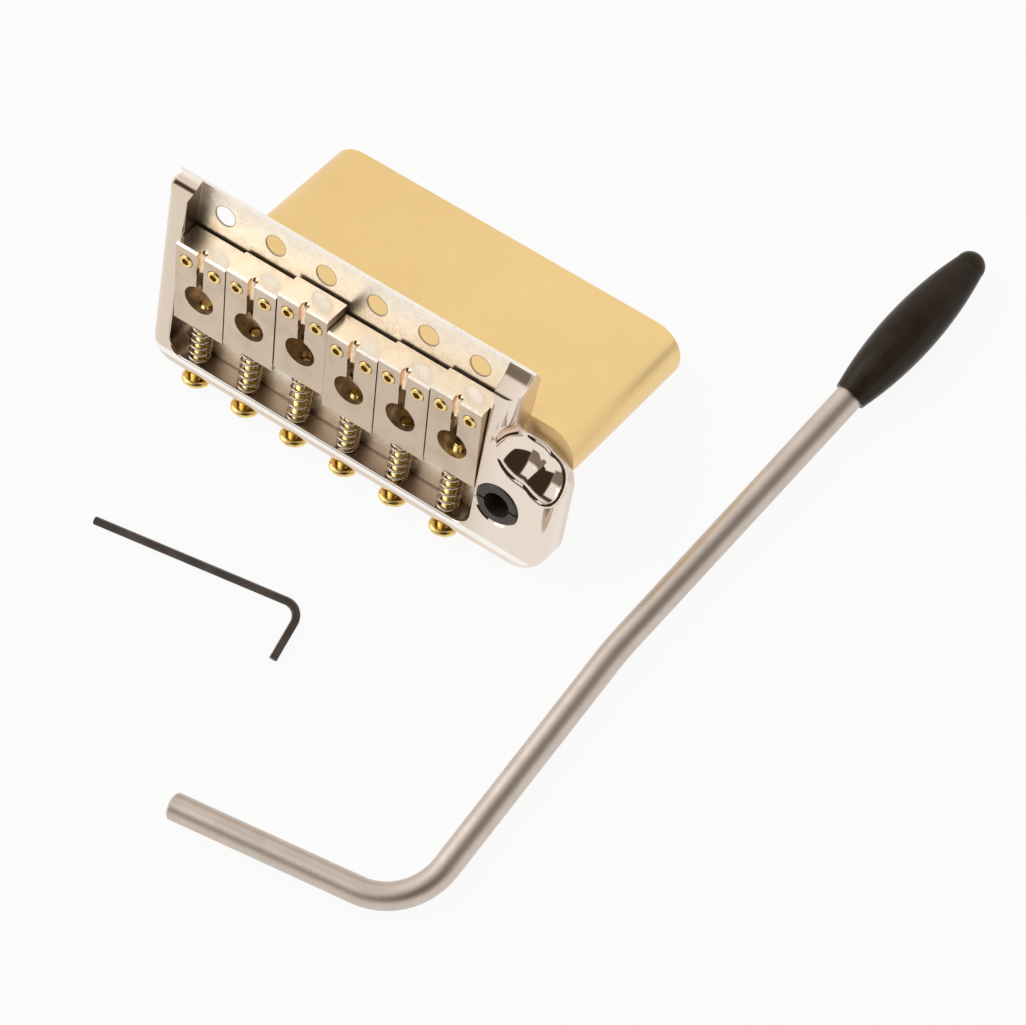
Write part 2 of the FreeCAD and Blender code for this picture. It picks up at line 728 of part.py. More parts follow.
def spring_route(number):
    # the wire stands square on the rear wall and on the saddle, and winds round the screw between them
    radius = 0.5 * size("spring_mean")
    wire = size("spring_wire")
    hook = size("spring_hook")
    low = -size("bay_rear")
    high = -size(saddle_front[number] + " + saddle_length")
    first = low + wire + hook
    last = high - wire - hook
    pitch = (last - first) / (0.25 * quarter_turns)
    lead = hook / radius

    def on_coil(angle, y):
        return Vector(radius * math.cos(angle), y, size("screw_line") + radius * math.sin(angle))

    def coil_way(angle):
        rise = pitch / (2 * math.pi)
        way = Vector(-radius * math.sin(angle), rise, radius * math.cos(angle))
        return way.normalize()

    upward = Vector(0, 1, 0)
    turn = 0.5 * math.pi
    end_angle = turn * quarter_turns
    foot = on_coil(-lead, low)
    foot_top = on_coil(-lead, low + wire)
    head_low = on_coil(end_angle + lead, high - wire)
    head = on_coil(end_angle + lead, high)
    edges = [Part.LineSegment(foot, foot_top).toShape()]
    edges += arc_pair(foot_top, upward, on_coil(0, first), coil_way(0))
    for n in range(quarter_turns):
        here = turn * n
        there = turn * (n + 1)
        y_here = first + 0.25 * pitch * n
        edges += arc_pair(on_coil(here, y_here), coil_way(here),
                          on_coil(there, y_here + 0.25 * pitch), coil_way(there))
    edges += arc_pair(on_coil(end_angle, last), coil_way(end_angle), head_low, upward)
    edges.append(Part.LineSegment(head_low, head).toShape())
    return Part.Wire(edges), foot


def least_gap(route, wire):
    # the smallest room between stretches of the wire that are more than half a turn apart
    step = 0.15
    points = route.discretize(Distance=step)
    apart = int(0.5 * math.pi * size("spring_mean") / step)
    nearest = min(points[n].distanceToPoint(points[m])
                  for n in range(len(points)) for m in range(n + apart, len(points)))
    return nearest - wire


def intonation_spring(number):
    label = "intonation_spring_%d" % (number + 1)
    route, foot = spring_route(number)
    radius = 0.5 * size("spring_wire")
    section = Part.Wire([Part.Circle(foot, Vector(0, 1, 0), radius).toShape()])
    coil = route.makePipeShell([section], True, False)
    spring = doc.addObject("Part::Feature", label)
    spring.Shape = coil
    expected = math.pi * radius ** 2 * route.Length
    print(label, "gap to itself %.2f mm," % least_gap(route, 2 * radius),
          "volume %.3f of %.3f" % (coil.Volume, expected))
    bridge_parts[label] = spring
    return spring


def arm_path(body, name, legs, turns, radii):
    # straight legs joined by tangent arcs, from the body's zero along its X axis
    corners = [Vector(0, 0, 0)]
    heading = 0.0
    for leg, turn in zip(legs, turns + [0]):
        way = Vector(math.cos(heading), math.sin(heading), 0)
        corners.append(corners[-1] + way * leg)
        heading += math.radians(turn)
    sketch = sketch_on(body, "XY_Plane", name)
    here = corners[0]
    for n, (turn, radius) in enumerate(zip(turns, radii)):
        corner = corners[n + 1]
        back = (corners[n] - corner).normalize()
        ahead = (corners[n + 2] - corner).normalize()
        cut_off = radius * math.tan(math.radians(abs(turn)) / 2)
        inside = (back + ahead).normalize()
        depth = radius / math.cos(math.radians(abs(turn)) / 2) - radius
        start = corner + back * cut_off
        end = corner + ahead * cut_off
        sketch.addGeometry(Part.LineSegment(here, start), False)
        sketch.addGeometry(Part.Arc(start, corner + inside * depth, end), False)
        here = end
    sketch.addGeometry(Part.LineSegment(here, corners[-1]), False)
    return sketch, corners


def pipe(body, name, profile, spine):
    feature = body.newObject("PartDesign::AdditivePipe", name)
    feature.Profile = profile
    feature.Spine = spine
    doc.recompute()
    return feature


def level_arc(start, end, crest):
    # an arc whose highest point is one of its two ends
    other = end if crest.isEqual(start, 1e-6) else start
    run = crest.x - other.x
    fall = crest.y - other.y
    radius = (run ** 2 + fall ** 2) / (2 * fall)
    half = 0.5 * math.asin(run / radius)
    middle = Vector(crest.x - radius * math.sin(half), crest.y - radius * (1 - math.cos(half)), 0)
    return Part.Arc(start, middle, end)


def arm():
    body = body_named("arm_rod")
    legs = [size("arm_short"), size("arm_middle"), size("arm_upper + arm_in_tip")]
    turns = [size("arm_angle"), -size("arm_bow")]
    spine, corners = arm_path(body, "arm_route", legs, turns, [size("arm_bend"), size("arm_bow_bend")])
    section = sketch_on(body, "YZ_Plane", "arm_section")
    circles(section, [("0*arm_rod", "0*arm_rod")], "arm_rod")
    rod = pipe(body, "arm_bar", section, spine)
    peg_end = edges_where(rod, lambda edge: all(abs(v.X) < 0.01 for v in edge.Vertexes) and edge.Closed)
    dress(body, "Chamfer", rod, peg_end, "arm_peg_end", "Size", "Sizes.arm_chamfer")

    tip = body_named("arm_tip")
    profile = sketch_on(tip, "XY_Plane", "tip_profile")
    bore = "0.5*arm_rod + tip_play"
    places = [("arm_in_tip + tip_play", "0*arm_rod"), ("arm_in_tip + tip_play", bore),
              ("0*arm_rod", bore), ("0*arm_rod", "0.5*tip_mouth")]
    shoulder = ("tip_length - 0.5*tip_end", "0.5*tip_end")
    belly = ("tip_belly_at", "0.5*tip_belly")
    end = ("tip_length", "0*arm_rod")
    for here, there in zip(places, places[1:]):
        profile.addGeometry(Part.LineSegment(flat(here), flat(there)), False)
    for here, there in ((places[-1], belly), (belly, shoulder)):
        profile.addGeometry(level_arc(flat(here), flat(there), flat(belly)), False)
    cap = flat(shoulder) * 0.5 + flat(end) * 0.5
    cap_middle = Vector(size("tip_length - 0.5*tip_end"), 0, 0)
    outward = (cap - cap_middle).normalize() * (0.5 * size("tip_end"))
    profile.addGeometry(Part.Arc(flat(shoulder), cap_middle + outward, flat(end)), False)
    profile.addGeometry(Part.LineSegment(flat(end), flat(places[0])), False)
    turned = tip.newObject("PartDesign::Revolution", "tip_turned")
    turned.Profile = profile
    turned.ReferenceAxis = (profile, ["H_Axis"])
    turned.Angle = 360
    doc.recompute()
    mouth_way = (corners[-1] - corners[-2]).normalize()
    mouth = corners[-1] - mouth_way * size("arm_in_tip")
    heading = math.degrees(math.atan2(mouth_way.y, mouth_way.x))
    seat = Placement(mouth, Rotation(Vector(0, 0, 1), heading))
    # the tip is thicker than the rod, so the arm lies on its peg leg and on the tip's belly
    belly_point = mouth + mouth_way * size("tip_belly_at")
    lift = math.degrees(math.asin(0.5 * size("tip_belly - arm_rod") / belly_point.y))
    lie = Placement(Vector(size("arm_x"), size("arm_y"), 0.5 * size("arm_rod")),
                    Rotation(Vector(0, 0, 1), size("arm_heading")))
    lie = lie.multiply(Placement(Vector(), Rotation(Vector(1, 0, 0), lift)))
    return {"arm_rod": (body, lie), "arm_tip": (tip, lie.multiply(seat))}


def hex_key():
    body = body_named("hex_key")
    spine, corners = arm_path(body, "key_route", [size("key_long"), size("key_short")],
                              [-size("key_angle")], [size("key_bend")])
    section = sketch_on(body, "YZ_Plane", "key_section")
    half = "0.288675*key_flat"
    point = "0.57735*key_flat"
    flat_half = "0.5*key_flat"
    polygon(section, [(point, "0*key_flat"), (half, flat_half), ("-" + half, flat_half),
                      ("-" + point, "0*key_flat"), ("-" + half, "-" + flat_half), (half, "-" + flat_half)])
    pipe(body, "key_bar", section, spine)
    lie = Placement(Vector(size("key_x"), size("key_y"), 0.5 * size("key_flat")),
                    Rotation(Vector(0, 0, 1), size("key_heading")))
    return {"hex_key": (body, lie)}


base_plate()
tremolo_block()
block_screws()
arm_socket()
string_parts = []
for number in range(strings):
    for make in (saddle, height_screws, intonation_screw, intonation_spring):
        string_parts.append((make(number), number))
loose = {**arm(), **hex_key()}
doc.recompute()

# The bridge lies on the domed heads of its intonation screws and on the rear lower edge of its block.
block_edge_y = size("-block_front - block_thick")
block_edge_z = size("-floor_thick - block_depth")
dome_y = size("-bay_rear - wall_rear - head_gap - head_height") + dome_radius()
reach_y = dome_y - block_edge_y
reach_z = size("screw_line") - block_edge_z
rest_angle = math.atan2(-reach_y, reach_z) + math.asin(dome_radius() / math.hypot(reach_y, reach_z))
floor_drop = math.cos(rest_angle) * block_edge_y + math.sin(rest_angle) * block_edge_z
rest = Placement(Vector(0, 0, -floor_drop), Rotation(Vector(1, 0, 0), 90 - math.degrees(rest_angle)))

places = {label: (thing, rest) for label, thing in bridge_parts.items()}
for thing, number in string_parts:
    places[thing.Label] = (thing, rest.multiply(Placement(Vector(size(string_x[number]), 0, 0), Rotation())))
places.update(loose)
for label, (thing, place) in places.items():
    thing.Label = label
    thing.Placement = place
doc.recompute()

# The part's zero is the middle of all that lies there, on the surface.
box = FreeCAD.BoundBox()
for thing, place in places.values():
    box.add(thing.Shape.optimalBoundingBox(False, False))
home = Vector(-0.5 * (box.XMin + box.XMax), -0.5 * (box.YMin + box.YMax), -box.ZMin)
for thing, place in places.values():
    thing.Placement = Placement(home, Rotation()).multiply(place)
doc.recompute()
print("rest angle %.2f degrees, home %.3f %.3f %.3f" % (math.degrees(rest_angle), home.x, home.y, home.z))

for thing in doc.Objects:
    if "Invalid" in thing.State or "Error" in thing.State:
        raise RuntimeError("%s failed: %s" % (thing.Label, thing.State))
os.makedirs("parts", exist_ok=True)
for label, (thing, place) in places.items():
    shape = thing.Shape
    if shape.isNull() or not shape.isValid():
        raise RuntimeError("%s has no valid shape" % label)
for label, (thing, place) in places.items():
    shape = thing.Shape
    print("%-22s solids %d volume %.2f" % (label, len(shape.Solids), shape.Volume))
    shape.exportStep("parts/%s.step" % label)
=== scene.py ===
import bpy
import bmesh
import json
import math
from mathutils import Matrix, Vector

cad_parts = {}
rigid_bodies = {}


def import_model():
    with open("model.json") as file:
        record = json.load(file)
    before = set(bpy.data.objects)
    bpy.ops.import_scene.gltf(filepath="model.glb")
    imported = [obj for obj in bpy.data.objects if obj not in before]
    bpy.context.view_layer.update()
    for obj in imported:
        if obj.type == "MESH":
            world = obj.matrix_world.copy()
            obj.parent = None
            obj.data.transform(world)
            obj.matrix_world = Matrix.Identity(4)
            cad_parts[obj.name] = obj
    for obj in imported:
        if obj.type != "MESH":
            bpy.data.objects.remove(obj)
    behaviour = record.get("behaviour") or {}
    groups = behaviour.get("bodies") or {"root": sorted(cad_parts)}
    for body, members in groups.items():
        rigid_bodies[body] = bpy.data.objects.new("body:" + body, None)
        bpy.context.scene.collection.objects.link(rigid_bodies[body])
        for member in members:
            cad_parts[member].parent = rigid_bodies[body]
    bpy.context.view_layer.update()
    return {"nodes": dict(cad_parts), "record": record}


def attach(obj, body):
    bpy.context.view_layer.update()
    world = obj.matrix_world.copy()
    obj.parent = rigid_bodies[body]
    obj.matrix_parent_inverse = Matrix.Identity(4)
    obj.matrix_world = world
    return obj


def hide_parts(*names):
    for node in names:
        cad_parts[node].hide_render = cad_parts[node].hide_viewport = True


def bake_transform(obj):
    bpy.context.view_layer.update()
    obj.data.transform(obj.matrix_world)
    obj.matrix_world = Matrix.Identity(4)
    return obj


# Guitar tremolo bridge lying on its back, with its arm and hex key beside it.
# Pieces on the bridge are modelled in millimetres along its own axes: x from bass to treble,
# y towards the neck, z out of the plate, zero in the middle of the mounting holes.

for leftover in list(bpy.data.objects):
    bpy.data.objects.remove(leftover)
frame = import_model()
nodes = frame["nodes"]
mounts = {mount["name"]: mount for mount in frame["record"]["mounts"]}
mm = 0.001
stringPitch = 10.48
stringX = [(n - 2.5) * stringPitch for n in range(6)]
holeRadius = mounts["mount_hole_1"]["dims"]["r_mm"]


def bridgeMatrix():
    bass, treble = Vector(mounts["mount_hole_1"]["pos_m"]), Vector(mounts["mount_hole_6"]["pos_m"])
    up = Vector(mounts["mount_hole_1"]["axis"]).normalized()
    along = (treble - bass).normalized()
    toNeck = up.cross(along)
    turn = Matrix((along, toNeck, up)).transposed().to_4x4()
    halfPlate = 0.5 * mounts["mount_hole_1"]["dims"]["length_mm"] * mm
    return Matrix.Translation(0.5 * (bass + treble) + up * halfPlate) @ turn @ Matrix.Scale(mm, 4)


onBridge = bridgeMatrix()
print("frame loaded,", len(nodes), "nodes")


# camera

cameraView = {
    "eye": (0.266938, -0.182193, 0.784892),
    "right": (0.81914, 0.55683, -0.13766),
    "forward": (-0.30158, 0.21395, -0.92913),
    "lens": 174.38, "sensor": 36.0,
}


def placeCamera(view):
    lens = bpy.data.cameras.new("photoCamera")
    lens.lens = view["lens"]
    lens.sensor_width = view["sensor"]
    camera = bpy.data.objects.new("photoCamera", lens)
    bpy.context.scene.collection.objects.link(camera)
    back = -Vector(view["forward"]).normalized()
    right = Vector(view["right"])
    right = (right - back * right.dot(back)).normalized()
    turn = Matrix((right, back.cross(right), back)).transposed().to_4x4()
    camera.matrix_world = Matrix.Translation(view["eye"]) @ turn
    bpy.context.scene.camera = camera


placeCamera(cameraView)
bpy.context.scene.view_settings.view_transform = "Standard"
print("camera placed")


# shader helpers

class Flow:
    def __init__(self, tree, socket=None):
        self.tree = tree
        self.socket = socket

    def node(self, kind, settings=None, inputs=None, output=0):
        made = self.tree.nodes.new("ShaderNode" + kind)
        for key, value in (settings or {}).items():
            setattr(made, key, value)
        for key, value in (inputs or {}).items():
            if isinstance(value, Flow):
                self.tree.links.new(value.socket, made.inputs[key])
            else:
                made.inputs[key].default_value = value
        return Flow(self.tree, made.outputs[output] if len(made.outputs) else None)

    def maths(self, operation, first, second):
        return self.node("Math", {"operation": operation}, {0: first, 1: second})

    def __add__(self, other):
        return self.maths("ADD", self, other)

    def __radd__(self, other):
        return self.maths("ADD", other, self)

    def __sub__(self, other):
        return self.maths("SUBTRACT", self, other)

    def __rsub__(self, other):
        return self.maths("SUBTRACT", other, self)

    def __mul__(self, other):
        return self.maths("MULTIPLY", self, other)

    def __rmul__(self, other):
        return self.maths("MULTIPLY", other, self)

    def above(self, low, high):
        return self.node("MapRange", {"interpolation_type": "SMOOTHSTEP"},
                         {"Value": self, "From Min": low, "From Max": high})

    def below(self, low, high):
        return 1 - self.above(low, high)

    def part(self, axis):
        return self.node("SeparateXYZ", None, {"Vector": self}, axis)

    def absolute(self):
        return self.node("Math", {"operation": "ABSOLUTE"}, {0: self})

    def most(self, other):
        return self.maths("MAXIMUM", self, other)


def rgb(colour):
    return (*colour, 1.0)


def newFinish(name):
    finish = bpy.data.materials.new(name)
    finish.use_nodes = True
    finish.node_tree.nodes.clear()
    return finish, Flow(finish.node_tree)


def places(flow, stretch=(1, 1, 1), turned=True):
    # object coordinates in millimetres, along the bridge's axes where asked
    spots = flow.node("TexCoord", None, None, "Object")
    if turned:
        back = onBridge.inverted()
        turn = back.to_3x3() * mm
        spots = flow.node("Mapping", None, {"Vector": spots, "Location": tuple(back.translation * mm),
                                            "Rotation": tuple(turn.to_euler())})
    return flow.node("Mapping", None, {"Vector": spots, "Scale": tuple(s / mm for s in stretch)})


def grain(flow, spots, size, detail=2.0, rough=0.5):
    # noise from 0 to 1 whose spots are about that many millimetres across
    return flow.node("TexNoise", None, {"Vector": spots, "Scale": 1.0 / size, "Detail": detail,
                                        "Roughness": rough})


def blend(flow, share, first, second):
    # sockets 0, 6 and 7 are the share and the two colours
    return flow.node("Mix", {"data_type": "RGBA"}, {0: share, 6: first, 7: second}, 2)


def raised(flow, bumps, depth):
    # bumps that many millimetres deep
    return flow.node("Bump", None, {"Height": bumps, "Distance": depth * mm, "Strength": 1.0})


def metal(flow, finish, colour, roughness, bumps=None, bumpDepth=0.0):
    inputs = {"Base Color": colour, "Roughness": roughness, "Metallic": 1.0}
    if bumps is not None:
        inputs["Normal"] = raised(flow, bumps, bumpDepth)
    surface = flow.node("BsdfPrincipled", None, inputs)
    flow.node("OutputMaterial", None, {"Surface": surface})
    return finish


def nickelPlate():
    look = {"wall": (0.74, 0.62, 0.51), "boss": (0.83, 0.72, 0.63), "strip": (0.97, 0.885, 0.765),
            "worn": (0.98, 0.95, 0.90), "smudgeAndShade": (0.80, 0.67, 0.54), "pit": (0.22, 0.15, 0.10),
            "grimeAndShade": (0.16, 0.11, 0.07), "polished": 0.05, "satin": 0.25,
            "bayHalf": 31.5, "bayRear": -32.0, "bayFront": (-22.0, -18.0), "bayBack": (-32.0, -26.0),
            "floorTop": (0.03, 0.12), "wallTop": (3.6, 4.1), "saddleFronts": (-3.6, -1.0),
            "bassCorner": (-30.6, -25.5), "bossFrom": (31.0, 36.0), "edge": 4.7,
            "facets": {"aside": (35.7, 35.9), "ahead": (-9.4, -8.6)},
            "underDish": {"along": (34.5, 35.5), "height": (-1.1, -0.7)}}
    finish, flow = newFinish("nickelPlate")
    spots = places(flow)
    along, ahead, height = (spots.part(axis) for axis in range(3))
    aside = along.absolute()
    cloud = grain(flow, spots, 5.0, 4.0, 0.6)
    patch = grain(flow, spots, 1.6, 4.0, 0.65)
    fine = grain(flow, spots, 0.26, 3.0, 0.6)
    half, rear = look["bayHalf"], look["bayRear"]
    floor = height.below(*look["floorTop"]) * aside.below(half + 0.02, half + 0.08)
    bay = ahead.below(*look["bayFront"])
    # tarnish and painted shade: the floor is darker beside the saddles, in the strip's bass corner and at the
    # back of the bay
    besideSaddles = ahead.below(*look["saddleFronts"]) * (1 - bay)
    bassCorner = along.below(*look["bassCorner"])
    backOfBay = bay * ahead.below(*look["bayBack"])
    # painted shade and reflection darken the bay's inner walls and where they meet the floor, and a painted
    # highlight makes a bright line on the rear rim
    inside = aside.below(half + 0.03, half + 0.10) * ahead.above(rear - 0.12, rear - 0.05)
    innerWalls = inside * height.above(0.02, 0.1) * height.below(*look["wallTop"])
    paintedWallShade = innerWalls * (0.3 + 0.3 * cloud + 0.35 * aside.above(half - 0.10, half - 0.03))
    paintedWallShade = paintedWallShade.most(floor * ahead.below(rear + 0.2, rear + 0.5) * 0.6)
    rimLight = height.above(3.7, 4.0) * ahead.below(rear, rear + 0.1) * ahead.above(rear - 1.5, rear - 0.9)
    colour = blend(flow, along.above(*look["bossFrom"]), rgb(look["wall"]), rgb(look["boss"]))
    colour = blend(flow, floor, colour, rgb(look["strip"]))
    # tarnish here is partly painted shade: real smudges plus shade beside the saddles, in the bass corner and
    # at the back of the bay
    tarnish = floor * (0.15 + 0.55 * besideSaddles.most(bassCorner) + 0.35 * backOfBay)
    smudgesAndShade = tarnish * patch.above(0.34, 0.66) + cloud.above(0.5, 0.8) * 0.12
    colour = blend(flow, smudgesAndShade, colour, rgb(look["smudgeAndShade"]))
    # the front edge is lighter, and the rear rim's bright line is a painted highlight
    frontEdge = ahead.above(look["edge"] - 0.7, look["edge"] - 0.1)
    colour = blend(flow, (frontEdge * 0.7).most(rimLight * 0.9), colour, rgb(look["worn"]))
    pits = fine.above(0.54, 0.68) * (0.10 + 0.5 * floor * patch.above(0.40, 0.62) + 0.35 * tarnish)
    colour = blend(flow, pits * (0.06 + 0.94 * floor), colour, rgb(look["pit"]))
    # a dark ring round each mounting hole
    offset = flow.maths("PINGPONG", along + 0.5 * stringPitch, 0.5 * stringPitch)
    fromHole = flow.maths("POWER", offset * offset + ahead * ahead, 0.5)
    rings = fromHole.below(holeRadius + 0.06, holeRadius + 0.22) * floor
    # painted shade on the inner walls and at their foot, and the dark rings round the holes
    colour = blend(flow, paintedWallShade.most(rings * 0.75), colour, rgb(look["grimeAndShade"]))
    scratches = grain(flow, places(flow, (0.06, 1.0, 1.0)), 0.22, 2.0).above(0.60, 0.74)
    rough = look["polished"] + floor * (look["satin"] - look["polished"] + fine * 0.10 + scratches * 0.10)
    facets, dish = look["facets"], look["underDish"]
    endFacets = aside.above(*facets["aside"]) * ahead.above(*facets["ahead"])
    underDish = along.above(*dish["along"]) * height.below(*dish["height"])
    rough = rough + patch * 0.03 + innerWalls * 0.25 + endFacets.most(underDish) * 0.3
    bumps = cloud * 0.2 + floor * (fine * 0.35 + scratches * 0.2)
    return metal(flow, finish, colour, rough, bumps, 0.008)


def saddleTop():
    # the top is darker than the fronts of the same steel: painted shade, beside its real brushed grain
    look = {"colour": (0.70, 0.57, 0.44), "shade": (0.58, 0.46, 0.34), "pit": (0.26, 0.18, 0.12),
            "rough": 0.26}
    finish, flow = newFinish("saddleTop")
    spots = places(flow)
    brushed = grain(flow, places(flow, (1.0, 0.05, 1.0)), 0.10, 3.0, 0.6)
    cloud = grain(flow, spots, 3.5, 3.0)
    specks = grain(flow, spots, 0.24, 2.0).above(0.68, 0.76) * grain(flow, spots, 1.8).above(0.42, 0.6)
    shade = cloud.above(0.4, 0.75) * 0.6 + brushed * 0.3
    colour = blend(flow, shade, rgb(look["colour"]), rgb(look["shade"]))
    colour = blend(flow, specks * 0.4, colour, rgb(look["pit"]))
    return metal(flow, finish, colour, look["rough"] + brushed * 0.16 + cloud * 0.04, brushed, 0.004)


def saddleFront():
    look = {"colour": (0.98, 0.885, 0.745), "shade": (0.90, 0.78, 0.64), "pit": (0.34, 0.24, 0.15),
            "rough": 0.19}
    finish, flow = newFinish("saddleFront")
    spots = places(flow)
    cloud = grain(flow, spots, 2.4, 3.0, 0.6)
    fine = grain(flow, spots, 0.22, 3.0, 0.6)
    specks = fine.above(0.60, 0.72) * grain(flow, spots, 1.4).above(0.45, 0.62)
    colour = blend(flow, cloud.above(0.42, 0.75) * 0.6, rgb(look["colour"]), rgb(look["shade"]))
    colour = blend(flow, specks * 0.55, colour, rgb(look["pit"]))
    return metal(flow, finish, colour, look["rough"] + cloud * 0.10, fine * 0.5 + cloud, 0.004)


def saddleBevel():
    look = {"colour": (0.97, 0.90, 0.80), "shade": (0.86, 0.76, 0.64), "rough": 0.14}
    finish, flow = newFinish("saddleBevel")
    worn = grain(flow, places(flow), 0.5, 3.0)
    colour = blend(flow, worn.above(0.4, 0.75), rgb(look["colour"]), rgb(look["shade"]))
    return metal(flow, finish, colour, look["rough"] + worn * 0.08)


def stringGroove():
    look = {"colour": (0.93, 0.76, 0.57), "worn": (0.80, 0.55, 0.34), "rough": 0.15}
    finish, flow = newFinish("stringGroove")
    worn = grain(flow, places(flow, (1.0, 0.3, 1.0)), 0.4, 3.0).above(0.35, 0.7)
    colour = blend(flow, worn, rgb(look["colour"]), rgb(look["worn"]))
    return metal(flow, finish, colour, look["rough"] + worn * 0.10, grain(flow, places(flow), 0.2), 0.003)


def darkBore():
    look = {"colour": (0.86, 0.73, 0.56), "stain": (0.58, 0.45, 0.32), "streak": (0.34, 0.25, 0.17),
            "rough": 0.28}
    finish, flow = newFinish("darkBore")
    stain = grain(flow, places(flow), 1.2, 3.0)
    streaks = grain(flow, places(flow, (1.0, 1.0, 0.15)), 0.3, 3.0)
    colour = blend(flow, stain.above(0.35, 0.7), rgb(look["colour"]), rgb(look["stain"]))
    colour = blend(flow, streaks.above(0.5, 0.75) * 0.5, colour, rgb(look["streak"]))
    return metal(flow, finish, colour, look["rough"] + stain * 0.2, stain, 0.01)


def brightBrass():
    look = {"colour": (0.96, 0.75, 0.31), "tarnish": (0.84, 0.58, 0.20), "rough": 0.20}
    finish, flow = newFinish("brightBrass")
    spots = places(flow)
    cloud = grain(flow, spots, 0.9, 3.0)
    colour = blend(flow, cloud.above(0.42, 0.72), rgb(look["colour"]), rgb(look["tarnish"]))
    return metal(flow, finish, colour, look["rough"] + cloud * 0.14, grain(flow, spots, 0.15), 0.003)


def brassBlock():
    look = {"colour": (0.86, 0.61, 0.275), "light": (0.93, 0.68, 0.32), "stain": (0.62, 0.40, 0.16),
            "ledge": (1.0, 0.79, 0.44), "top": -2.5, "rough": 0.27, "lightSide": (-30.0, 30.0),
            "stainedShadedEnd": (-37.0, -16.0), "stainedShadedTop": (-14.0, -4.0)}
    finish, flow = newFinish("brassBlock")
    spots = places(flow)
    brushed = grain(flow, places(flow, (1.0, 1.0, 0.03)), 0.22, 4.0, 0.65)
    cloud = grain(flow, spots, 14.0, 4.0, 0.55)
    specks = grain(flow, spots, 0.45, 2.0).above(0.70, 0.78) * grain(flow, spots, 4.0).above(0.45, 0.65)
    along, depth = spots.part(0), spots.part(2)
    # random tone plus painted light: lighter towards the treble end, darker towards the bass end
    toneAndPaintedLight = cloud.above(0.35, 0.7) * 0.5 + along.above(*look["lightSide"]) * 0.5
    colour = blend(flow, toneAndPaintedLight, rgb(look["colour"]), rgb(look["light"]))
    blotches = grain(flow, spots, 7.0, 5.0, 0.6).above(0.48, 0.78)
    # stain blotches, gathered by painted shade on the bass end's rounding and towards the top under the plate
    shadeAtEdges = 0.35 * along.below(*look["stainedShadedEnd"]) + 0.20 * depth.above(*look["stainedShadedTop"])
    stainsAndShade = blotches * (0.10 + shadeAtEdges)
    colour = blend(flow, brushed.above(0.50, 0.85) * 0.25 + specks * 0.5 + stainsAndShade, colour, rgb(look["stain"]))
    # the ledge in front of the boss is duller, and painted paler to lift the shade the boss casts on it
    ledge = depth.above(look["top"] - 0.06, look["top"] - 0.01)
    colour = blend(flow, ledge * 0.7, colour, rgb(look["ledge"]))
    rough = look["rough"] + brushed * 0.14 + cloud * 0.05 + ledge * 0.3
    return metal(flow, finish, colour, rough, brushed, 0.005)


def springSteel():
    look = {"colour": (0.66, 0.57, 0.47), "shade": (0.40, 0.32, 0.25), "rough": 0.16}
    finish, flow = newFinish("springSteel")
    drawn = grain(flow, places(flow), 0.2, 3.0)
    colour = blend(flow, drawn.above(0.4, 0.7), rgb(look["colour"]), rgb(look["shade"]))
    return metal(flow, finish, colour, look["rough"] + drawn * 0.12)


def armSteel():
    look = {"colour": (0.66, 0.57, 0.505), "shade": (0.56, 0.48, 0.42), "rough": 0.37}
    finish, flow = newFinish("armSteel")
    spots = places(flow, turned=False)
    fine = grain(flow, spots, 0.20, 3.0, 0.7)
    cloud = grain(flow, spots, 4.0, 3.0)
    shade = cloud.above(0.35, 0.7) * 0.5 + fine.above(0.5, 0.8) * 0.3
    colour = blend(flow, shade, rgb(look["colour"]), rgb(look["shade"]))
    return metal(flow, finish, colour, look["rough"] + fine * 0.12 + cloud * 0.04, fine, 0.006)


def plastic(name, look):
    finish, flow = newFinish(name)
    spots = places(flow, turned=False)
    fine = grain(flow, spots, look["grain"], 3.0, 0.6)
    cloud = grain(flow, spots, 4.0, 3.0)
    colour = blend(flow, cloud.above(0.35, 0.7), rgb(look["colour"]), rgb(look["worn"]))
    dust = grain(flow, spots, 0.3, 1.0).above(0.74, 0.80)
    colour = blend(flow, dust * 0.5, colour, rgb(look["dust"]))
    surface = flow.node("BsdfPrincipled", None, {
        "Base Color": colour, "Roughness": look["rough"] + fine * 0.12, "Metallic": look["metal"],
        "Specular IOR Level": look["gloss"], "Normal": raised(flow, fine + cloud * 0.5, look["bump"])})
    flow.node("OutputMaterial", None, {"Surface": surface})
    return finish


finishes = {
    "plate": nickelPlate(), "saddleTop": saddleTop(), "saddleFront": saddleFront(),
    "saddleBevel": saddleBevel(), "groove": stringGroove(), "bore": darkBore(), "brass": brightBrass(),
    "block": brassBlock(), "spring": springSteel(), "arm": armSteel(),
    "tip": plastic("armTipBlack", {
        "colour": (0.030, 0.0205, 0.0125), "worn": (0.040, 0.0275, 0.018), "dust": (0.12, 0.09, 0.07),
        "rough": 0.20, "grain": 0.5, "bump": 0.005, "metal": 0.0, "gloss": 0.14}),
    "collar": plastic("collarBlack", {
        "colour": (0.042, 0.028, 0.020), "worn": (0.070, 0.048, 0.036), "dust": (0.14, 0.11, 0.09),
        "rough": 0.30, "grain": 0.25, "bump": 0.01, "metal": 0.0, "gloss": 0.5}),
    "key": plastic("keyOxide", {
        "colour": (0.052, 0.037, 0.029), "worn": (0.090, 0.066, 0.052), "dust": (0.16, 0.13, 0.11),
        "rough": 0.34, "grain": 0.3, "bump": 0.01, "metal": 0.6, "gloss": 0.48}),
    "darkScrew": plastic("darkScrew", {
        "colour": (0.06, 0.05, 0.045), "worn": (0.12, 0.10, 0.09), "dust": (0.2, 0.17, 0.15),
        "rough": 0.32, "grain": 0.3, "bump": 0.01, "metal": 1.0, "gloss": 0.5}),
}
print("finishes made")


# mesh helpers

quarter = [math.radians(18 * n) for n in range(6)]  # steps of a rounded edge


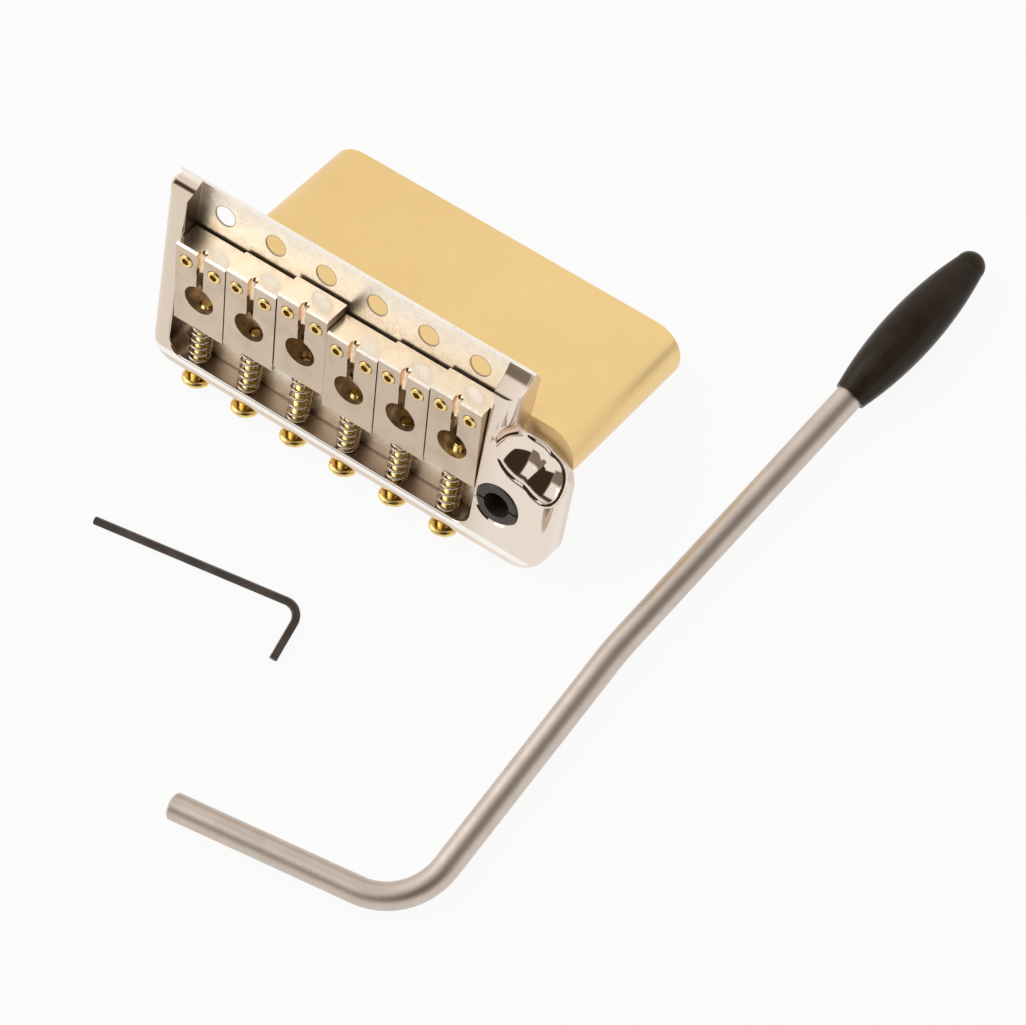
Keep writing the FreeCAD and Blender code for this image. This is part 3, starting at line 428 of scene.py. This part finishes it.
def linkMesh(name, mesh):
    thing = bpy.data.objects.new(name, mesh)
    bpy.context.scene.collection.objects.link(thing)
    return thing


def fromBmesh(name, bm, *coats):
    mesh = bpy.data.meshes.new(name)
    bm.to_mesh(mesh)
    bm.free()
    for coat in coats:
        mesh.materials.append(finishes[coat])
    return linkMesh(name, mesh)


def settle(thing):
    # what the modifiers make becomes the mesh
    depsgraph = bpy.context.evaluated_depsgraph_get()
    thing.data = bpy.data.meshes.new_from_object(thing.evaluated_get(depsgraph))
    thing.modifiers.clear()


def carve(thing, cutters):
    for cutter in cutters:
        tool = thing.modifiers.new("carve", "BOOLEAN")
        tool.operation = "DIFFERENCE"
        tool.solver = "EXACT"
        tool.material_mode = "TRANSFER"
        tool.object = cutter
    settle(thing)
    for cutter in cutters:
        bpy.data.objects.remove(cutter)


def roundEdges(thing, width):
    tool = thing.modifiers.new("edges", "BEVEL")
    tool.width = width
    tool.segments = 2
    tool.limit_method = "ANGLE"
    tool.angle_limit = math.radians(35)
    tool.miter_outer = "MITER_ARC"
    settle(thing)


def shade(thing, angle, weighted=False):
    thing.data.shade_smooth()
    thing.data.set_sharp_from_angle(angle=math.radians(angle))
    if weighted:
        tool = thing.modifiers.new("flatFaces", "WEIGHTED_NORMAL")
        tool.keep_sharp = True
        tool.weight = 100
        settle(thing)
    return thing


def cylinder(name, radius, length, place, segments, coat="bore"):
    # along z, its lower end at the place
    bm = bmesh.new()
    bmesh.ops.create_cone(bm, cap_ends=True, segments=segments, radius1=radius, radius2=radius, depth=length)
    bmesh.ops.translate(bm, verts=bm.verts, vec=(0, 0, 0.5 * length))
    bm.transform(place)
    return fromBmesh(name, bm, coat)


def bar(name, low, high):
    bm = bmesh.new()
    bmesh.ops.create_cube(bm, size=1.0)
    low, high = Vector(low), Vector(high)
    bmesh.ops.scale(bm, verts=bm.verts, vec=high - low)
    bmesh.ops.translate(bm, verts=bm.verts, vec=0.5 * (low + high))
    return fromBmesh(name, bm, "bore")


def spun(bm, profile, steps):
    # a line of (radius, y) points turned round the y axis
    corners = [bm.verts.new((radius, y, 0)) for radius, y in profile]
    lines = [bm.edges.new(pair) for pair in zip(corners, corners[1:])]
    bmesh.ops.spin(bm, geom=corners + lines, cent=(0, 0, 0), axis=(0, 1, 0), dvec=(0, 0, 0),
                   angle=2 * math.pi, steps=steps, use_merge=True)
    bmesh.ops.remove_doubles(bm, verts=bm.verts, dist=1e-4)
    bmesh.ops.recalc_face_normals(bm, faces=bm.faces)


def seat(thing, place, body, slot, *replaced):
    thing.data.transform(place)
    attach(thing, body)
    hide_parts(*replaced)


# saddles

saddleShape = {
    "width": 10.3, "length": 19.0, "crown": 6.2, "drop": 2.3, "toe": 0.5, "heel": 0.35,
    "fronts": (4.93, 4.34, 3.09, 5.09, 4.32, 3.51),
    "frontBevel": 0.44, "edge": 0.1, "rim": 0.07,
    "mouth": 3.0, "mouthBack": 11.4,
    "slot": 1.36, "slotFloor": 1.6,
    "groove": 0.74, "grooveSink": 0.2, "grooveWalls": 2.5, "grooveEnd": 5.0, "grooveOverlap": 0.6,
    "grooveBend": 2.2, "grooveBendAt": 1.5, "grooveBendBy": 91, "grooveSteps": 14,
    "screwSpread": 5.85, "screwBack": 3.25, "screwHole": 1.34,
    "boreLine": 2.15, "bore": 1.2, "cutLength": 20.0,
}


def saddleLean(shape):
    return math.atan2(shape["drop"], shape["length"])


def heightScrewPlaces(shape):
    # on the sloping top, each leaning with it
    fall = shape["drop"] * shape["screwBack"] / shape["length"]
    turn = Matrix.Rotation(saddleLean(shape), 4, "X")
    half, back, height = 0.5 * shape["screwSpread"], shape["screwBack"], shape["crown"] - fall
    return [Matrix.Translation((side * half, -back, height)) @ turn for side in (-1, 1)]


def saddleBlank(shape):
    bm = bmesh.new()
    bmesh.ops.create_cube(bm, size=1.0)
    tops = {True: shape["crown"], False: shape["crown"] - shape["drop"]}
    bottoms = {True: shape["toe"], False: shape["heel"]}
    for corner in bm.verts:
        ahead = corner.co.y > 0
        rise = (tops if corner.co.z > 0 else bottoms)[ahead]
        corner.co = (corner.co.x * shape["width"], 0 if ahead else -shape["length"], rise)
    bm.normal_update()
    for face in bm.faces:
        face.material_index = 1 if face.normal.y > 0.9 else 0
    frontTop = [edge for edge in bm.edges
                if all(v.co.y > -0.01 and v.co.z > shape["crown"] - 0.01 for v in edge.verts)]
    bmesh.ops.bevel(bm, geom=frontTop, offset=shape["frontBevel"], offset_type="OFFSET", segments=1,
                    profile=0.5, affect="EDGES", material=2)
    return fromBmesh("saddleBlank", bm, "saddleTop", "saddleFront", "saddleBevel", "groove", "bore")


def grooveCutter(shape):
    # a round-bottomed channel that follows the top and then bends over the front
    radius, bend, lean = shape["groove"], shape["grooveBend"], saddleLean(shape)
    bendAt, back = shape["grooveBendAt"], shape["grooveEnd"] + shape["grooveOverlap"]
    level, walls = shape["crown"] - shape["grooveSink"], shape["grooveWalls"]
    arc = [math.radians(180 + 15 * n) for n in range(13)]
    section = [(radius * math.cos(a), radius * math.sin(a)) for a in arc]
    section += [(radius, walls), (-radius, walls)]
    bm = bmesh.new()
    corners = [bm.verts.new((x, 0, h)) for x, h in section]
    front = corners + list(bm.faces.new(corners).edges)
    bmesh.ops.rotate(bm, verts=corners, cent=(0, 0, 0), matrix=Matrix.Rotation(lean, 3, "X"))
    bmesh.ops.translate(bm, verts=corners, vec=(0, -back, level - back * math.tan(lean)))
    run = Vector((0, back - bendAt, (back - bendAt) * math.tan(lean)))
    outward = Vector((0, -math.sin(lean), math.cos(lean)))
    under = Vector((0, -bendAt, level - bendAt * math.tan(lean))) - bend * outward
    straight = ((0, 0, 0), run, 0, 1)
    bent = (under, (0, 0, 0), -math.radians(shape["grooveBendBy"]), shape["grooveSteps"])
    for centre, step, turn, steps in (straight, bent):
        front = bmesh.ops.spin(bm, geom=front, cent=centre, axis=(1, 0, 0), dvec=step, angle=turn,
                               steps=steps)["geom_last"]
    bmesh.ops.contextual_create(bm, geom=[e for e in front if isinstance(e, bmesh.types.BMEdge)])
    bmesh.ops.recalc_face_normals(bm, faces=bm.faces)
    return fromBmesh("grooveCutter", bm, "groove")


def softRim(thing, coat, rimCoat, width):
    # rounds only the edges where one finish meets the others
    index = {slot.material.name: n for n, slot in enumerate(thing.material_slots)}
    inside, rim = index[finishes[coat].name], index[finishes[rimCoat].name]
    bm = bmesh.new()
    bm.from_mesh(thing.data)
    edges = [edge for edge in bm.edges if len(edge.link_faces) == 2
             and sum(face.material_index == inside for face in edge.link_faces) == 1
             and edge.calc_face_angle(0.0) > math.radians(25)]
    bmesh.ops.bevel(bm, geom=edges, offset=width, offset_type="OFFSET", segments=2, profile=0.5,
                    affect="EDGES", material=rim, clamp_overlap=True)
    bm.to_mesh(thing.data)
    bm.free()


def saddleMesh(shape):
    blank = saddleBlank(shape)
    boreTurn = Matrix.Rotation(math.pi / 2, 4, "X")
    cut = shape["cutLength"]
    cutters = [
        cylinder("mouthCutter", shape["mouth"], cut,
                 Matrix.Translation((0, -shape["mouthBack"], -0.25 * cut)), 64),
        bar("slotCutter", (-0.5 * shape["slot"], -shape["mouthBack"], shape["slotFloor"]),
            (0.5 * shape["slot"], -shape["grooveEnd"], shape["crown"] + 2)),
        cylinder("boreCutter", shape["bore"], 2 * (shape["length"] - shape["mouthBack"]),
                 Matrix.Translation((0, -shape["mouthBack"], shape["boreLine"])) @ boreTurn, 32),
    ]
    for place in heightScrewPlaces(shape):
        low = place @ Matrix.Translation((0, 0, -0.5 * cut))
        cutters.append(cylinder("heightCutter", shape["screwHole"], cut, low, 40))
    carve(blank, cutters)
    roundEdges(blank, shape["edge"])
    carve(blank, [grooveCutter(shape)])
    softRim(blank, "groove", "saddleBevel", shape["rim"])
    return shade(blank, 35, weighted=True)


pattern = saddleMesh(saddleShape)
for n in range(6):
    saddle = linkMesh("saddlePiece_%d" % (n + 1), pattern.data.copy())
    place = onBridge @ Matrix.Translation((stringX[n], -saddleShape["fronts"][n], 0))
    seat(saddle, place, "string_%d_saddle" % (n + 1), "saddle_steel", "saddle_%d" % (n + 1))
bpy.data.objects.remove(pattern)
print("saddles carved")


# height screws

heightScrew = {
    "radius": 1.27, "proud": 0.32, "length": 5.4, "roll": 0.36, "flat": 1.3, "socketDepth": 1.6, "edge": 0.1,
    "point": 0.4, "turns": (0.3, 1.1), "turnStep": 0.7,
}


def heightScrewMesh(shape):
    bm = bmesh.new()
    out, top, low, point = shape["radius"], shape["proud"], -shape["length"], shape["point"]
    roll = [(out - shape["roll"] * (1 - math.sin(a)), top - shape["roll"] * (1 - math.cos(a)))
            for a in quarter]
    spun(bm, [(0, top)] + roll + [(out, low + point), (out - point, low), (0, low)], 40)
    bm.transform(Matrix.Rotation(math.pi / 2, 4, "X"))
    screw = fromBmesh("heightScrewBlank", bm, "brass")
    hexKey = cylinder("hexCutter", shape["flat"] / math.sqrt(3), 2 * shape["socketDepth"],
                      Matrix.Translation((0, 0, -shape["socketDepth"])), 6, "brass")
    carve(screw, [hexKey])
    roundEdges(screw, shape["edge"])
    return shade(screw, 30, weighted=True)


screwPattern = heightScrewMesh(heightScrew)
for n in range(6):
    bm = bmesh.new()
    for turn, place in zip(heightScrew["turns"], heightScrewPlaces(saddleShape)):
        copy = screwPattern.data.copy()
        copy.transform(place @ Matrix.Rotation(turn + heightScrew["turnStep"] * n, 4, "Z"))
        bm.from_mesh(copy)
        bpy.data.meshes.remove(copy)
    pair = fromBmesh("heightScrewPair_%d" % (n + 1), bm, "brass")
    shade(pair, 30, weighted=True)
    place = onBridge @ Matrix.Translation((stringX[n], -saddleShape["fronts"][n], 0))
    seat(pair, place, "string_%d_height" % (n + 1), "brass_screw", "height_screws_%d" % (n + 1))
bpy.data.objects.remove(screwPattern)
print("height screws turned")


# intonation screws

intonation = {
    "line": 2.15, "crest": 1.15, "root": 0.93, "lead": 0.45, "steps": 20,
    "seat": -36.15, "tips": (-18.9,) * 5 + (-16.4,), "headRadius": 2.6, "headRim": 0.8, "headHeight": 2.2,
    "headUnder": 0.65, "cross": (2.8, 0.7, 1.0), "edge": 0.06,
    "plain": (1.3, 1.5), "threadFrom": 1.0, "threadShort": 0.15, "coreOver": 0.02, "tipBevel": 0.12,
}


def threadOn(bm, shape, low, high):
    # one tooth swept round and along the screw
    tooth = [(shape["root"], 0.0), (shape["crest"], 0.5 * shape["lead"]), (shape["root"], shape["lead"])]
    corners = [bm.verts.new((radius, low + y, 0)) for radius, y in tooth]
    lines = [bm.edges.new(pair) for pair in zip(corners, corners[1:])]
    turns = round((high - low) / shape["lead"]) - 1
    steps = shape["steps"]
    bmesh.ops.spin(bm, geom=corners + lines, cent=(0, 0, 0), axis=(0, 1, 0),
                   dvec=(0, shape["lead"] / steps, 0), angle=2 * math.pi * turns, steps=steps * turns)


def intonationMesh(shape, tip):
    bm = bmesh.new()
    threadOn(bm, shape, shape["seat"] + shape["threadFrom"], tip - shape["threadShort"])
    bmesh.ops.remove_doubles(bm, verts=bm.verts, dist=1e-3)
    bmesh.ops.recalc_face_normals(bm, faces=bm.faces)
    shank = bmesh.new()
    radius, crest, rear = shape["root"] + shape["coreOver"], shape["crest"], shape["seat"]
    bevel, (plain, taper) = shape["tipBevel"], shape["plain"]
    spun(shank, [(0, rear), (crest, rear), (crest, rear + plain), (radius, rear + taper),
                 (radius, tip - bevel), (radius - bevel, tip), (0, tip)], 32)
    thread = fromBmesh("threadBlank", bm, "brass")
    core = fromBmesh("coreBlank", shank, "brass")
    head = bmesh.new()
    radius, rise = shape["headRadius"], shape["headHeight"] - shape["headRim"]
    ball = (radius ** 2 + rise ** 2) / (2 * rise)
    wide = math.asin(radius / ball)
    rim = shape["seat"] - shape["headRim"]
    dome = [(ball * math.sin(a), rim - rise + ball * (1 - math.cos(a)))
            for a in (wide * k / 8 for k in range(9))]
    under = shape["headUnder"]
    lip = [(radius - under * (1 - math.cos(a)), shape["seat"] - under * (1 - math.sin(a)))
           for a in quarter]
    spun(head, dome + lip + [(0, shape["seat"])], 40)
    cap = fromBmesh("headBlank", head, "brass", "bore")
    span, width, depth = shape["cross"]
    far = shape["seat"] - shape["headHeight"]
    cuts = [bar("crossA", (-0.5 * span, far - 1, -0.5 * width), (0.5 * span, far + depth, 0.5 * width)),
            bar("crossB", (-0.5 * width, far - 1, -0.5 * span), (0.5 * width, far + depth, 0.5 * span))]
    carve(cap, cuts)
    roundEdges(cap, shape["edge"])
    whole = bmesh.new()
    for piece in (thread, core, cap):
        whole.from_mesh(piece.data)
        bpy.data.objects.remove(piece)
    screw = fromBmesh("intonationPattern", whole, "brass", "bore")
    return shade(screw, 40, weighted=True)


for n in range(6):
    screw = intonationMesh(intonation, intonation["tips"][n])
    screw.name = "intonationScrewPiece_%d" % (n + 1)
    screw.data.transform(Matrix.Translation((0, 0, intonation["line"])))
    seat(screw, onBridge @ Matrix.Translation((stringX[n], 0, 0)), "string_%d_screw" % (n + 1), "brass_screw",
         "intonation_screw_%d" % (n + 1))
print("intonation screws threaded")


# springs

springShape = {
    "wire": 0.25, "mean": 1.75, "wall": -31.9, "closed": 0.75, "turns": 6.0, "steps": 28, "section": 10,
    "closedPitch": 2.1, "start": 0.6, "startStep": 1.3, "held": 0.6,
}


def coilOn(bm, shape, low, high):
    # closed end turns with open ones between, wound step by step
    made = bmesh.ops.create_circle(bm, cap_ends=True, segments=shape["section"], radius=shape["wire"])
    ring = made["verts"]
    bmesh.ops.rotate(bm, verts=ring, cent=(0, 0, 0), matrix=Matrix.Rotation(math.pi, 3, "Y"))
    bmesh.ops.translate(bm, verts=ring, vec=(shape["mean"], low + shape["wire"], 0))
    closedRise = shape["closedPitch"] * shape["wire"] * shape["closed"]
    openTurns = shape["turns"] - 2 * shape["closed"]
    openRise = high - low - 2 * shape["wire"] - 2 * closedRise
    stretches = ((shape["closed"], closedRise), (openTurns, openRise), (shape["closed"], closedRise))
    face = next(f for f in bm.faces)
    front = list(face.edges) + list(face.verts)
    for turns, rise in stretches:
        count = max(1, round(shape["steps"] * turns))
        out = bmesh.ops.spin(bm, geom=front, cent=(0, 0, 0), axis=(0, 1, 0), dvec=(0, rise / count, 0),
                             angle=2 * math.pi * turns, steps=count)
        front = out["geom_last"]
    bmesh.ops.contextual_create(bm, geom=[e for e in front if isinstance(e, bmesh.types.BMEdge)])
    bmesh.ops.recalc_face_normals(bm, faces=bm.faces)


for n in range(6):
    bm = bmesh.new()
    farEnd = -saddleShape["fronts"][n] - saddleShape["length"]
    coilOn(bm, springShape, springShape["wall"], farEnd)
    startTurn = Matrix.Rotation(springShape["start"] + springShape["startStep"] * n, 3, "Y")
    bmesh.ops.rotate(bm, verts=bm.verts, cent=(0, 0, 0), matrix=startTurn)
    bmesh.ops.translate(bm, verts=bm.verts, vec=(stringX[n], 0, intonation["line"]))
    bm.transform(onBridge)
    spring = fromBmesh("springPiece_%d" % (n + 1), bm, "spring")
    shade(spring, 60)
    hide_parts("intonation_spring_%d" % (n + 1))
    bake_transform(spring)
print("springs wound")


# parts kept as they were packed, with their own finishes

keptNodes = {
    "base_plate": "plate", "tremolo_block": "block", "block_screws": "darkScrew", "arm_bushing": "collar",
    "arm_tension_screw": "darkScrew", "arm_rod": "arm", "arm_tip": "tip", "hex_key": "key",
}
for name, coat in keptNodes.items():
    for holder in nodes[name].material_slots:
        holder.material = finishes[coat]
print("plate, block, arm and key finished")


# studio

studio = {
    "floor": (0.86, 0.86, 0.86), "floorSize": 3.0, "floorDrop": 0.0002, "floorWhite": 0.92,
    "sky": (0.98, 0.965, 0.94), "level": 1.0, "horizon": (0.02, 0.08),
    # dark panels overhead, by where a line of sight crosses a ceiling one unit up
    "panels": (
        {"across": (0.02, 2.4), "deep": (-1.8, 0.42), "soft": 0.06, "colour": (0.045, 0.030, 0.020)},
        {"across": (-1.3, 0.05), "deep": (0.20, 0.42), "soft": 0.05, "colour": (0.08, 0.06, 0.045)},
        {"across": (-1.1, 0.06), "deep": (-3.0, -0.64), "soft": 0.12, "colour": (0.24, 0.20, 0.16)},
    ),
    "lamps": ({"name": "leftSoftbox", "place": (-0.75, -0.15, 0.75), "size": 0.7, "watts": 2.5},),
}


def studioFloor(look):
    bm = bmesh.new()
    bmesh.ops.create_grid(bm, x_segments=2, y_segments=2, size=0.5 * look["floorSize"])
    bmesh.ops.translate(bm, verts=bm.verts, vec=(0, 0, -look["floorDrop"]))
    floor = fromBmesh("studioFloor", bm)
    finish, flow = newFinish("paleFloor")
    path = {name: flow.node("LightPath", None, None, name) for name in
            ("Is Camera Ray", "Is Glossy Ray", "Is Transmission Ray")}
    seen = path["Is Camera Ray"].most(path["Is Glossy Ray"]).most(path["Is Transmission Ray"])
    matte = flow.node("BsdfDiffuse", None, {"Color": rgb(look["floor"])})
    white = flow.node("Emission", None, {"Color": rgb((1, 1, 1)), "Strength": 1.0})
    mixed = flow.node("MixShader", None, {0: seen * look["floorWhite"], 1: matte, 2: white})
    flow.node("OutputMaterial", None, {"Surface": mixed})
    floor.data.materials.append(finish)


def studioSky(look):
    world = bpy.data.worlds.new("studioSky")
    bpy.context.scene.world = world
    world.use_nodes = True
    world.node_tree.nodes.clear()
    flow = Flow(world.node_tree)
    way = flow.node("TexCoord", None, None, 0)  # the direction of sight
    rise = way.part(2).most(look["horizon"][0])
    across = flow.maths("DIVIDE", way.part(0), rise)
    deep = flow.maths("DIVIDE", way.part(1), rise)
    colour = rgb(look["sky"])
    for panel in look["panels"]:
        soft = panel["soft"]
        inside = way.part(2).above(*look["horizon"])
        for place, (low, high) in ((across, panel["across"]), (deep, panel["deep"])):
            inside = inside * place.above(low - soft, low + soft) * place.below(high - soft, high + soft)
        colour = blend(flow, inside, colour, rgb(panel["colour"]))
    background = flow.node("Background", None, {"Color": colour, "Strength": look["level"]})
    flow.node("OutputWorld", None, {"Surface": background})


def studioLamps(look):
    for lamp in look["lamps"]:
        light = bpy.data.lights.new(lamp["name"], "AREA")
        light.energy = lamp["watts"]
        light.size = lamp["size"]
        holder = bpy.data.objects.new(lamp["name"], light)
        holder.location = lamp["place"]
        holder.rotation_euler = (-Vector(lamp["place"])).to_track_quat("-Z", "Y").to_euler()
        bpy.context.scene.collection.objects.link(holder)


studioFloor(studio)
studioSky(studio)
studioLamps(studio)
print("studio lit")

bpy.context.view_layer.update()
